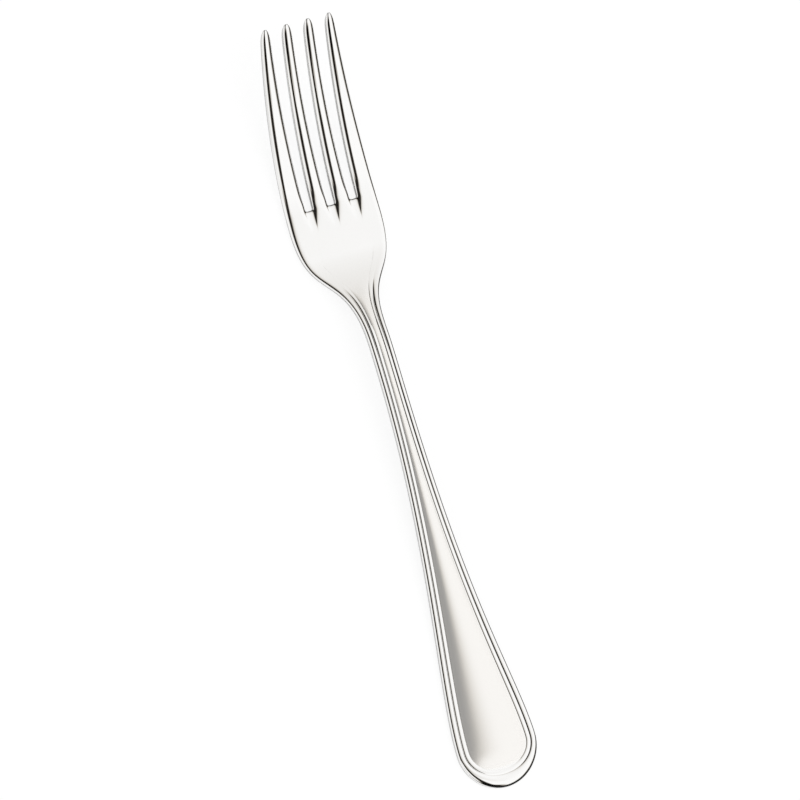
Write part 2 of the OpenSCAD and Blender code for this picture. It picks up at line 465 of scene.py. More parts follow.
@dataclass(frozen=True)
class Border:
    """Double-thread border of the handle and its crowned panel. Sizes are in millimetres."""

    places: Places
    outline: Outline
    rounding: Rounding
    rim_neck: float = 1.6  # width of the rim on the neck, at the handle's widest place and at its end
    rim_wide: float = 2.0
    rim_end: float = 4.0
    thread_neck: float = 1.05  # width of the thread at the same places
    thread_wide: float = 1.4
    thread_end: float = 1.5
    end_power: float = 1.7  # how late the widths change round the handle's end
    groove_half: float = 0.22
    foot: float = 0.24  # width of the slope from the thread down to the panel
    groove_depth: float = 0.2
    groove_end: float = 0.35  # share by which the groove is deeper round the handle's end
    thread_step: float = 0.06  # depth of the thread's top below the rim
    foot_depth: float = 0.165
    panel_recess: float = 0.16
    crown_height: float = 1.3  # height that the crown of a wide panel comes near
    crown_rate: float = 0.17  # height per half width of the crown of a narrow panel
    crown_ebb: float = 0.4  # share of the crown that is lost towards the shoulder
    crown_start: float = 22.0  # where the crown starts to die out towards the end of the handle
    crown_power: float = 3.3
    groove_swell: float = 0.45  # share by which the groove is deeper at the shoulder
    swell_length: float = 9.0
    run: float = 17.0  # distance past the shoulder's start at which the border has run out
    fade: float = 8.0
    head_rim: float = 2.7  # distances of the groove and the panel's edge from the outline on the head
    head_panel: float = 4.5
    settle_start: float = 1.0
    settle_length: float = 25.0

    def strength(self, reach: float) -> float:
        """Strength of the border: whole on the handle and neck, gone on the head."""
        return ease((self.places.shoulder + self.run - reach) / self.fade)

    def nearing(self, reach: float) -> float:
        """Share of the way along the last stretch of the neck to the shoulder."""
        return ease((reach - self.places.shoulder + self.swell_length) / self.swell_length)

    def settled(self, reach: float) -> float:
        """Share by which the border's lines have spread out over the head."""
        return ease((reach - self.places.shoulder - self.settle_start) / self.settle_length)

    def rim(self, reach: float, turn: float = 0.0) -> float:
        """Distance of the groove from the outline."""
        return self.widened(self.rim_neck, self.rim_wide, self.rim_end, self.head_rim, reach, turn)

    def panel(self, reach: float, turn: float = 0.0) -> float:
        """Distance of the panel's edge from the outline.

        Args:
            reach: Distance from the end of the handle.
            turn: Angle round the handle's end.

        Returns:
            The distance at that place.
        """
        neck = self.rim_neck + self.thread_neck
        wide = self.rim_wide + self.thread_wide
        end = self.rim_end + self.thread_end
        return self.widened(neck, wide, end, self.head_panel, reach, turn)

    def widened(
        self, neck: float, wide: float, end: float, head: float, reach: float, turn: float
    ) -> float:
        """Width that grows with the handle, more round its end, and again over the head.

        Args:
            neck: Width on the neck.
            wide: Width at the handle's widest place.
            end: Width at the very end of the handle.
            head: Width on the head.
            reach: Distance from the end of the handle.
            turn: Angle round the handle's end.

        Returns:
            The width at that place.
        """
        line = self.outline
        flare = 0.0
        if reach < self.places.shoulder:
            flare = (line.half_width(reach) - line.neck_half) / (line.end_radius - line.neck_half)
        side = mix(mix(neck, wide, flare), head, self.settled(reach))
        return mix(side, end, math.sin(turn) ** self.end_power)

    def section(self, line: Line, reach: float, turn: float = 0.0) -> Pair:
        """Place of one of the border's lines in a section across the border.

        Args:
            line: One of the border's lines.
            reach: Distance from the end of the handle.
            turn: Angle round the handle's end.

        Returns:
            The line's distance from the outline and its depth below the rim.
        """
        rounding = self.rounding
        corner = rounding.outer_corner(reach, turn)
        width, depth = rounding.outer(reach, turn), rounding.outer_depth(reach, turn)
        edge, edge_round, flat = rounding.steps(width, depth, (corner, corner))
        rim, panel = self.rim(reach, turn), self.panel(reach, turn)
        strength = self.strength(reach)
        cut = 1 + self.groove_swell * self.nearing(reach) + self.groove_end * math.sin(turn)
        return {
            Line.EDGE: edge,
            Line.EDGE_ROUND: edge_round,
            Line.RIM_OUTSIDE: flat,
            Line.RIM_INSIDE: (rim - self.groove_half, 0.0),
            Line.GROOVE: (rim, self.groove_depth * strength * cut),
            Line.THREAD_OUTSIDE: (rim + self.groove_half, self.thread_step * strength),
            Line.THREAD_INSIDE: (panel - self.foot, self.thread_step * strength),
            Line.PANEL_EDGE: (panel, self.foot_depth * strength),
        }[line]

    def raised(self, reach: float) -> float:
        """Share of the panel's crown that is left towards the end of the handle."""
        lowest = self.panel(self.outline.end_radius, QUARTER_TURN)
        return 1 - ramp((self.crown_start - reach) / (self.crown_start - lowest)) ** self.crown_power

    def chord(self, reach: float) -> float:
        """Half width of the panel inside the handle's round end.

        Args:
            reach: Distance from the end of the handle.

        Returns:
            The half width there.
        """
        radius = self.outline.end_radius
        turn = halved(
            lambda angle: radius - (radius - self.panel(radius, angle)) * math.sin(angle) > reach,
            QUARTER_TURN,
        )
        return (radius - self.panel(radius, turn)) * math.cos(turn)

    def panel_drop(self, half: float, share: float, reach: float) -> float:
        """Depth of the crowned panel below the rim.

        Args:
            half: Half width of the panel.
            share: Place between the panel's middle and its edge, from 0 to 1.
            reach: Distance from the end of the handle.

        Returns:
            The depth, negative where the crown stands over the rim.
        """
        crown = self.crown_height * math.tanh(self.crown_rate * half / self.crown_height)
        crown *= self.raised(reach) * (1 - self.crown_ebb * self.nearing(reach))
        return self.strength(reach) * (self.panel_recess - crown * (1 - share * share))


@dataclass(frozen=True)
class Slots:
    """Slots between the tines, and the grooves in which they run out. Sizes are in millimetres."""

    places: Places
    rounding: Rounding
    root_half: float = 1.2  # half the width of a slot at its root and at the tips
    tip_half: float = 1.9
    root_pitch: float = 7.35  # distance of the outer slots from the centre line at the same places
    tip_pitch: float = 7.1
    runout: float = 6.0  # length of the groove in which a slot runs out
    runout_floor: float = 0.85  # half the width of the groove's floor, where it starts
    runout_edge: float = 1.1  # half the width of the whole groove, where it starts
    wall_share: float = 0.45  # place of the cage's corner on the groove's side
    wall_drop: float = 0.5  # depth of that corner, as a share of the groove's
    corner_run: float = 2.5

    def along(self, reach: float) -> float:
        """Share of the way from the roots to the tips."""
        return ramp((reach - self.places.root) / (self.places.length - self.places.root))

    def half(self, reach: float) -> float:
        """Half the width of a slot."""
        return mix(self.root_half, self.tip_half, self.along(reach))

    def pitch(self, reach: float) -> float:
        """Distance of the outer slots from the centre line."""
        return mix(self.root_pitch, self.tip_pitch, self.along(reach))

    def into_runout(self, reach: float) -> float:
        """Share of the way from the start of a run-out groove to the slot's root."""
        return ramp((reach - self.places.root + self.runout) / self.runout)

    def floor_edge(self, reach: float) -> float:
        """Distance from the slot's middle to the edge of its groove's floor."""
        return mix(self.runout_floor, self.root_half, self.into_runout(reach) ** 2)

    def face_edge(self, reach: float) -> float:
        """Distance from the slot's middle to where the flat face begins."""
        at_root = self.root_half + self.rounding.support * self.rounding.slot_root
        return mix(self.runout_edge, at_root, self.into_runout(reach))

    def wall(self, reach: float) -> float:
        """Distance from the slot's middle to the corner on its groove's side."""
        return mix(self.floor_edge(reach), self.face_edge(reach), self.wall_share)

    def corner(self, reach: float) -> Pair:
        """Corner of the cage along a slot, which turns from the groove's side into the tine's rounding.

        Args:
            reach: Distance from the end of the handle.

        Returns:
            The corner's inset and drop, as shares of the width and depth of the rounding.
        """
        turned = ease((reach - self.places.root) / self.corner_run)
        inset = mix(self.wall_share * self.rounding.support, self.rounding.corner, turned)
        return inset, mix(self.wall_drop, self.rounding.corner, turned)

    def groove_drop(self, reach: float) -> float:
        """Depth of the run-out groove's floor."""
        return self.rounding.runout_depth * self.into_runout(reach)


@dataclass(frozen=True)
class Station:
    """Place along the border: a distance along the fork, or a turn round the handle's end."""

    reach: float
    turn: float = 0.0


@dataclass(frozen=True)
class Wiring:
    """Node tree of a material or of the world, with short ways to add its nodes."""

    tree: bpy.types.NodeTree

    def fill(self, node: bpy.types.Node, inputs: Inputs) -> None:
        """Sets or links the inputs of a node.

        Args:
            node: Node of the tree.
            inputs: Values to set and sockets to link, by the input's name or number.
        """
        for key, value in inputs.items():
            if isinstance(value, Socket):
                self.tree.links.new(value, node.inputs[key])
            else:
                node.inputs[key].default_value = value

    def add(self, kind: str, inputs: Inputs | None = None, **settings: str) -> bpy.types.Node:
        """Adds a node.

        Args:
            kind: Type of the node, without its prefix.
            inputs: Values to set and sockets to link, by the input's name or number.
            settings: Settings of the node, which decide on its inputs.

        Returns:
            The node.
        """
        node = self.tree.nodes.new("ShaderNode" + kind)
        for name, value in settings.items():
            setattr(node, name, value)
        self.fill(node, inputs or {})
        return node

    def reckoned(self, operation: str, *terms: Socket | float) -> Socket:
        """Adds a calculation with one or more terms."""
        return self.add("Math", dict(enumerate(terms)), operation=operation).outputs["Value"]

    def ranged(self, source: Socket, start: Pair, end: Pair = UNIT) -> Socket:
        """Adds a change of a value from one range to another, held at its ends."""
        limits = dict(zip(("From Min", "From Max", "To Min", "To Max"), (*start, *end)))
        return self.add("MapRange", {"Value": source, **limits}).outputs["Result"]

    def toned(self, share: Socket, first: Socket | Colour, last: Colour) -> Socket:
        """Adds a mix of two colours.

        Args:
            share: Share of the second colour.
            first: First colour, or a socket with it.
            last: Second colour.

        Returns:
            Socket with the mixed colour.
        """
        start = first if isinstance(first, Socket) else rgba(first)
        inputs = {"Factor": share, "A": start, "B": rgba(last)}
        return self.add("Mix", inputs, data_type="RGBA").outputs["Result"]

    def chosen(self, ray: Ray, others: Socket, seen: Socket) -> Socket:
        """Adds a choice between two shaders: one that a kind of ray sees, and one for all others."""
        share = self.add("LightPath").outputs[ray.value]
        return self.add("MixShader", {"Fac": share, 1: others, 2: seen}).outputs["Shader"]


@dataclass(frozen=True)
class Steel:
    """Polished stainless steel, with a softer polish on the handle's panel and painted shade darkening its
    edges.
    """

    name: str = "polished_steel"
    light: Colour = (0.96, 0.955, 0.945)
    dark: Colour = (0.93, 0.925, 0.915)
    warm: Colour = (0.863, 0.844, 0.816)  # colour of the softer polish
    # painted shade: near-black colour on the edges, standing in for the shaded table that they reflect
    painted_edge_shade: Colour = (0.05, 0.05, 0.05)
    polished: float = 0.05  # roughness of the polish and of the softer polish
    satin: float = 0.13
    frost: float = 0.33  # share of the softer polish that scatters light as a matt surface does
    unevenness: float = 0.03  # most that the clouds add to the roughness
    cloud_scale: float = 70.0
    cloud_detail: float = 4.0
    hairline_across: float = 5200.0
    hairline_along: float = 140.0
    hairline_scale: float = 1.0
    hairline_detail: float = 2.0
    hairline_height: float = 0.03
    hairline_distance: float = 0.00002

    def material(self, satin_attribute: str, painted_edge_shade_attribute: str) -> bpy.types.Material:
        """Builds the material.

        Args:
            satin_attribute: Name of the mesh attribute that marks the softer polish.
            painted_edge_shade_attribute: Name of the mesh attribute that marks the painted shade along the
                edges.

        Returns:
            The node material.
        """
        made = bpy.data.materials.new(self.name)
        made.use_nodes = True
        wiring = Wiring(made.node_tree)
        place = wiring.add("TexCoord").outputs["Object"]
        satin = wiring.add("Attribute", attribute_name=satin_attribute).outputs["Fac"]
        # share of painted shade along the edges, read from the mesh
        painted_edge_shade = wiring.add("Attribute", attribute_name=painted_edge_shade_attribute).outputs["Fac"]
        noise = {"Vector": place, "Scale": self.cloud_scale, "Detail": self.cloud_detail}
        clouds = wiring.add("TexNoise", noise).outputs["Fac"]
        panel = wiring.toned(satin, wiring.toned(clouds, self.dark, self.light), self.warm)
        polish = wiring.ranged(satin, UNIT, (self.polished, self.satin))
        wiring.fill(made.node_tree.nodes["Principled BSDF"], {
            # the base colour turns to the painted shade's near black on the marked edges
            "Base Color": wiring.toned(painted_edge_shade, panel, self.painted_edge_shade),
            "Metallic": wiring.ranged(satin, UNIT, (1.0, 1.0 - self.frost)),
            "Roughness": wiring.reckoned("MULTIPLY_ADD", clouds, self.unevenness, polish),
            "Normal": self.hairlines(wiring, place),
        })
        return made

    def hairlines(self, wiring: Wiring, place: Socket) -> Socket:
        """Adds the fine lines that polishing leaves along the fork.

        Args:
            wiring: Nodes of the material.
            place: Place on the fork.

        Returns:
            Socket with the normal.
        """
        scale = (self.hairline_across, self.hairline_along, self.hairline_across)
        stretched = wiring.add("Mapping", {"Vector": place, "Scale": scale}).outputs["Vector"]
        noise = {"Vector": stretched, "Scale": self.hairline_scale, "Detail": self.hairline_detail}
        height = wiring.add("TexNoise", noise).outputs["Fac"]
        bump = {"Height": height, "Strength": self.hairline_height, "Distance": self.hairline_distance}
        return wiring.add("Bump", bump).outputs["Normal"]


@dataclass
class Fork:
    """The whole blank, from the end of the handle to the tips of the tines. Sizes are in millimetres."""

    places: Places
    spine: Spine
    outline: Outline
    rounding: Rounding
    border: Border
    slots: Slots
    name: str = "fork"
    slot: str = "steel"
    satin_attribute: str = "satin"
    # mesh attribute that carries the painted shade along the edges
    painted_edge_shade_attribute: str = "painted_edge_shade"
    edge_shade_top: float = 0.25  # share of painted shade on the face's edge up to the slot roots, and at the tips
    edge_shade_tip: float = 0.65
    edge_shade_foot: float = 0.5  # share of painted shade on the back's edge on handle and neck; it is whole on the head
    corner_turn: float = math.radians(45.0)  # turn round the handle's end at which the panel's corner lies
    corner_rows: int = 6
    handle_rows: int = 20
    handle_row_power: float = 1.15
    neck_rows: int = 5
    palm_rows: int = 14
    runout_rows: int = 6
    tine_rows: int = 17
    tine_row_power: float = 1.4
    tip_turns: tuple[float, ...] = (26.0, 46.0, 62.0, 76.0)  # rows round a tine's point, in degrees
    rounded_lines: int = 2  # lines on the rounding of each side of a tine
    panel_margin: float = 0.3  # gap between the panel's edge and its next line
    most_margin: float = 0.25  # most of the panel's half width that this gap takes
    grid_half: float = 0.5  # half the size of a sheet before its points are moved
    merge_distance: float = 0.001  # gap up to which points are joined
    smoothing: int = 2
    stations: list[Station] = field(default_factory=list)
    tine_reaches: list[float] = field(default_factory=list)

    @classmethod
    def from_frame(cls) -> "Fork":
        """Fork with the sizes of the CAD frame.

        Returns:
            The fork, not yet built.
        """
        places = Places.from_frame()
        spine = Spine(places)
        outline = Outline.from_frame(places)
        rounding = Rounding(places, spine)
        border = Border(places, outline, rounding)
        return cls(places, spine, outline, rounding, border, Slots(places, rounding))

    @property
    def palm_end(self) -> float:
        """Where the run-out grooves start."""
        return self.places.root - self.slots.runout

    def set_stations(self) -> None:
        """Spaces the rows round the handle's end, along the blank and along the tines."""
        places = self.places
        radius = self.outline.end_radius
        corner = self.corner_turn
        below = [mix(QUARTER_TURN, corner, row / Line.PANEL_EDGE) for row in range(Line.PANEL_EDGE)]
        beside = [mix(corner, 0.0, row / self.corner_rows) for row in range(self.corner_rows)]
        self.stations = [Station(radius, turn) for turn in below + beside]
        reaches = [radius, *spaced(radius, places.taper_end, self.handle_rows, self.handle_row_power)]
        reaches += spaced(places.taper_end, places.shoulder, self.neck_rows)
        reaches += spaced(places.shoulder, self.palm_end, self.palm_rows)
        reaches += spaced(self.palm_end, places.root, self.runout_rows)
        self.stations += [Station(reach) for reach in reaches]
        root, point = places.root, places.length - self.spine.tip_length
        self.tine_reaches = [root, *spaced(root, point, self.tine_rows, self.tine_row_power)]
        for turn in self.tip_turns:
            self.tine_reaches.append(point + self.spine.tip_length * math.sin(math.radians(turn)))

    def border_point(self, line: Line, station: Station) -> Vector:
        """Place in plan of a point of the border, with its depth below the rim.

        Args:
            line: One of the border's lines.
            station: Place along the border.

        Returns:
            The place across and along the fork, with the depth as a negative height.
        """
        inset, drop = self.border.section(line, station.reach, station.turn)
        if station.turn > 0:
            radius = self.outline.end_radius
            out = Vector((math.cos(station.turn), -math.sin(station.turn)))
            spot = Vector((0.0, radius)) + out * (radius - inset)
        else:
            inward = Vector((-1.0, self.outline.slope(station.reach))).normalized()
            spot = Vector((self.outline.half_width(station.reach), station.reach)) + inward * inset
        return Vector((spot.x, spot.y, -drop))

    def panel_share(self, line: Line, reach: float, half: float) -> float:
        """Place of a line between the centre line and the panel's edge, from 0 to 1.

        Args:
            line: One of the panel's lines.
            reach: Distance from the end of the handle.
            half: Half width of the panel.

        Returns:
            The share of the half width.
        """
        if line == Line.PANEL_EDGE:
            return 1.0
        even = line / Line.OUTER_TINE_LEFT * (1 - min(self.panel_margin / half, self.most_margin))
        settled = ease((reach - self.places.shoulder) / (self.palm_end - self.places.shoulder))
        if settled == 0:
            return even
        return mix(even, self.slot_place(line, reach) / half, settled)

    def slot_place(self, line: Line, reach: float) -> float:
        """Place of one of the slots' lines on the head.

        Args:
            line: One of the slots' lines.
            reach: Distance from the end of the handle.

        Returns:
            The distance from the centre line.
        """
        pitch = self.slots.pitch(reach)
        floor = self.slots.floor_edge(reach)
        wall = self.slots.wall(reach)
        face = self.slots.face_edge(reach)
        return {
            Line.CENTRE: 0.0,
            Line.MIDDLE_SLOT_EDGE: floor,
            Line.INNER_TINE_LEFT_ROUND: wall,
            Line.INNER_TINE_LEFT: face,
            Line.INNER_TINE_MIDDLE: pitch / 2,
            Line.INNER_TINE_RIGHT: pitch - face,
            Line.INNER_TINE_RIGHT_ROUND: pitch - wall,
            Line.OUTER_SLOT_INSIDE: pitch - floor,
            Line.OUTER_SLOT_MIDDLE: pitch,
            Line.OUTER_SLOT_OUTSIDE: pitch + floor,
            Line.OUTER_TINE_ROUND: pitch + wall,
            Line.OUTER_TINE_LEFT: pitch + face,
        }[line]

    def groove_drop(self, line: Line, reach: float) -> float:
        """Depth of a run-out groove at one of the slots' lines.

        Args:
            line: One of the slots' lines.
            reach: Distance from the end of the handle.

        Returns:
            The depth there.
        """
        walls = (Line.INNER_TINE_LEFT_ROUND, Line.INNER_TINE_RIGHT_ROUND, Line.OUTER_TINE_ROUND)
        face = (Line.INNER_TINE_LEFT, Line.INNER_TINE_MIDDLE, Line.INNER_TINE_RIGHT)
        if line in face or line >= Line.OUTER_TINE_LEFT:
            return 0.0
        share = self.slots.wall_drop if line in walls else 1.0
        return share * self.slots.groove_drop(reach)

    def panel_point(self, line: Line, row: int) -> Vector:
        """Place in plan of a point of the panel or palm, with its depth below the rim.

        Args:
            line: One of the panel's lines.
            row: Row of the panel, counted from the corners of the round end.

        Returns:
            The place across and along the fork, with the depth as a negative height.
        """
        if row < self.corner_rows:
            return self.end_point(line, row)
        station = self.stations[row + Line.PANEL_EDGE]
        edge = self.border_point(Line.PANEL_EDGE, station)
        if line == Line.PANEL_EDGE:
            return edge
        share = self.panel_share(line, station.reach, edge.x)
        reach = mix(station.reach, edge.y, share * share)
        drop = self.border.panel_drop(edge.x, share, reach) + self.groove_drop(line, reach)
        return Vector((edge.x * share, reach, -drop))

    def end_point(self, line: Line, row: int) -> Vector:
        """Place of a point of the panel inside the handle's round end.

        The patch is drawn between the panel's edge below and beside it, the centre line and the widest row.

        Args:
            line: One of the panel's lines.
            row: Row of the panel, counted from the corners of the round end.

        Returns:
            The place across and along the fork, with the depth as a negative height.
        """
        radius = self.outline.end_radius
        across = line / Line.PANEL_EDGE
        up = row / self.corner_rows
        below = self.border_point(Line.PANEL_EDGE, self.stations[line])
        beside = self.border_point(Line.PANEL_EDGE, self.stations[row + Line.PANEL_EDGE])
        lowest = self.border_point(Line.PANEL_EDGE, self.stations[0])
        corner = self.border_point(Line.PANEL_EDGE, self.stations[Line.PANEL_EDGE])
        widest = self.border_point(Line.PANEL_EDGE, Station(radius))
        centre = Vector((0.0, radius, widest.z))
        above = centre + (widest - centre) * self.panel_share(line, radius, widest.x)
        spine = lowest.lerp(centre, up)
        spot = below.lerp(above, up) + spine.lerp(beside, across)
        spot -= lowest.lerp(corner, across).lerp(centre.lerp(widest, across), up)
        if line == Line.PANEL_EDGE or row == 0:
            return Vector((spot.x, spot.y, widest.z))
        share = min(1.0, spot.x / self.border.chord(spot.y))
        return Vector((spot.x, spot.y, -self.border.panel_drop(widest.x, share, spot.y)))

    def tine_sides(self, outer: bool, reach: float) -> tuple[float, float]:
        """Both sides of a tine of the right half, before its point closes.

        Args:
            outer: Whether it is the outer tine.
            reach: Distance from the end of the handle.

        Returns:
            The distances of its left and right side from the centre line.
        """
        half = self.slots.half(reach)
        pitch = self.slots.pitch(reach)
        if outer:
            return pitch + half, self.outline.half_width(reach)
        return half, pitch - half

    def tine_steps(self, outer: bool, reach: float) -> tuple[Steps, Steps]:
        """Lines of the cage over the rounded sides of a tine.

        Args:
            outer: Whether it is the outer tine.
            reach: Distance from the end of the handle.

        Returns:
            The inset and drop of each line of the left side and of the right side, from the edge inwards.
        """
        rounding = self.rounding
        left, right = self.tine_sides(outer, reach)
        most = rounding.most(reach) * (right - left)
        width = min(rounding.slot(reach), most)
        along_slot = rounding.steps(width, rounding.slot_depth(reach), self.slots.corner(reach))
        if not outer:
            return along_slot, along_slot
        width = min(rounding.outer(reach), most)
        corner = rounding.outer_corner(reach)
        return along_slot, rounding.steps(width, rounding.outer_depth(reach), (corner, corner))

    def tine_point(self, line: Line, row: int) -> Vector:
        """Place in plan of a point of a tine, with its depth below the face.

        Args:
            line: One of the tine's lines.
            row: Row of the tine, counted from the slot root.

        Returns:
            The place across and along the fork, with the depth as a negative height.
        """
        if row == 0:
            if line > Line.PANEL_EDGE:
                return self.border_point(line, self.stations[-1])
            return self.panel_point(line, len(self.stations) - 1 - Line.PANEL_EDGE)
        reach = self.tine_reaches[row]
        outer = line >= Line.OUTER_SLOT_OUTSIDE
        first, last = (Sheet.OUTER_TINE if outer else Sheet.INNER_TINE).value
        left, right = self.tine_sides(outer, reach)
        left_steps, right_steps = self.tine_steps(outer, reach)
        from_left, from_right = line - first, last - line
        if from_left < self.rounded_lines:
            inset, drop = left_steps[from_left]
            across = left + inset
        elif from_right < self.rounded_lines:
            inset, drop = right_steps[from_right]
            across = right - inset
        else:
            share = (from_left - self.rounded_lines) / (last - first - 2 * self.rounded_lines)
            across = mix(left + left_steps[-1][0], right - right_steps[-1][0], share)
            drop = 0.0
        middle = (left + right) / 2
        return Vector((mix(middle, across, self.spine.closing(reach)), reach, -drop))

    def satin_at(self, line: Line, row: int, reach: float) -> float:
        """Share of the softer polish at a point of a sheet: none on the panel's edge and outside it."""
        return self.border.strength(reach) if line < Line.PANEL_EDGE and row > 0 else 0.0

    def lay_sheet(
        self, mesh: bmesh.types.BMesh, sheet: Sheet, rows: int, place: Callable[[Line, int], Vector]
    ) -> None:
        """Adds a grid of quads and moves each point to the place of its line and row.

        Args:
            mesh: Mesh that the sheet is added to.
            sheet: Sheet to lay.
            rows: Number of quads along the sheet.
            place: Function that gives a point's place in plan, with its depth.
        """
        first, last = sheet.value
        columns = last - first
        half = self.grid_half
        satin = mesh.verts.layers.float[self.satin_attribute]
        made = bmesh.ops.create_grid(mesh, x_segments=columns, y_segments=rows, size=half)
        for point in made["verts"]:
            line = Line(first + round((point.co.x + half) * columns))
            row = round((point.co.y + half) * rows)
            point.co = place(line, row)
            point[satin] = self.satin_at(line, row, point.co.y)

    def lay_half(self, mesh: bmesh.types.BMesh) -> None:
        """Lays out the right half in plan and joins its sheets.

        Args:
            mesh: Mesh that the half is laid in.
        """
        rows = len(self.stations) - 1
        tine_rows = len(self.tine_reaches) - 1
        self.lay_sheet(mesh, Sheet.PANEL, rows - Line.PANEL_EDGE, self.panel_point)
        self.lay_sheet(
            mesh, Sheet.BORDER, rows, lambda line, row: self.border_point(line, self.stations[row])
        )
        for tine in (Sheet.INNER_TINE, Sheet.OUTER_TINE):
            self.lay_sheet(mesh, tine, tine_rows, self.tine_point)
        bmesh.ops.remove_doubles(mesh, verts=mesh.verts, dist=self.merge_distance)

    def mirror_half(self, mesh: bmesh.types.BMesh) -> None:
        """Mirrors the right half to the left and joins both on the centre line.

        Args:
            mesh: Mesh with the right half.
        """
        gap = self.merge_distance
        geometry = [*mesh.verts, *mesh.edges, *mesh.faces]
        bmesh.ops.mirror(mesh, geom=geometry, matrix=Matrix.Identity(4), merge_dist=gap, axis="X")
        bmesh.ops.remove_doubles(mesh, verts=mesh.verts, dist=gap)

    def thicken(self, mesh: bmesh.types.BMesh) -> None:
        """Raises a copy of the plan to the face and lowers the plan to the back, with painted shade along
        the edges of both.

        Args:
            mesh: Mesh with both halves in plan.
        """
        satin = mesh.verts.layers.float[self.satin_attribute]
        painted_edge_shade = mesh.verts.layers.float[self.painted_edge_shade_attribute]
        brink = {point for point in mesh.verts if point.is_boundary}
        # Painted shade on the face's edge, stronger towards the tips.
        for point in brink:
            point[painted_edge_shade] = mix(self.edge_shade_top, self.edge_shade_tip, self.slots.along(point.co.y))
        made = bmesh.ops.extrude_face_region(mesh, geom=mesh.faces[:], use_keep_orig=True)
        face = {item for item in made["geom"] if isinstance(item, bmesh.types.BMVert)}
        # Painted shade on the back's edge, lighter on handle and neck than on the head.
        for point in brink:
            point[painted_edge_shade] = mix(1.0, self.edge_shade_foot, self.border.strength(point.co.y))
        for point in mesh.verts:
            reach = point.co.y
            closing = self.spine.closing(reach)
            half = self.spine.thickness(reach) / 2
            middle = self.spine.back(reach) + half
            if point in face:
                point.co.z = middle + (half + point.co.z) * closing
            else:
                rise = self.rounding.back_rise if point in brink else 0.0
                point.co.z = middle - (half - rise) * closing
                point[satin] = 0.0
        bmesh.ops.recalc_face_normals(mesh, faces=mesh.faces)

    def build(self) -> bpy.types.Object:
        """Models the fork in metres, in the frame of the CAD.

        Returns:
            The finished piece.
        """
        self.set_stations()
        mesh = bmesh.new()
        mesh.verts.layers.float.new(self.satin_attribute)
        mesh.verts.layers.float.new(self.painted_edge_shade_attribute)
        self.lay_half(mesh)
        self.mirror_half(mesh)
        self.thicken(mesh)
        bmesh.ops.scale(mesh, vec=(MM, MM, MM), verts=mesh.verts)
        bmesh.ops.translate(mesh, vec=(0.0, CAD_BOX[0].y, CAD_BOX[0].z), verts=mesh.verts)
        for face in mesh.faces:
            face.smooth = True
        piece = placed(self.name, mesh)
        smooth = piece.modifiers.new("smooth", "SUBSURF")
        smooth.levels = self.smoothing
        smooth.render_levels = self.smoothing
        return piece

    def dress(self, piece: bpy.types.Object, steel: Steel) -> None:
        """Gives the piece its steel and its place in the frame.

        Args:
            piece: The finished piece.
            steel: Finish of the whole fork.
        """
        piece.data.materials.append(steel.material(self.satin_attribute, self.painted_edge_shade_attribute))
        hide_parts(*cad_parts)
        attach(piece, "root")


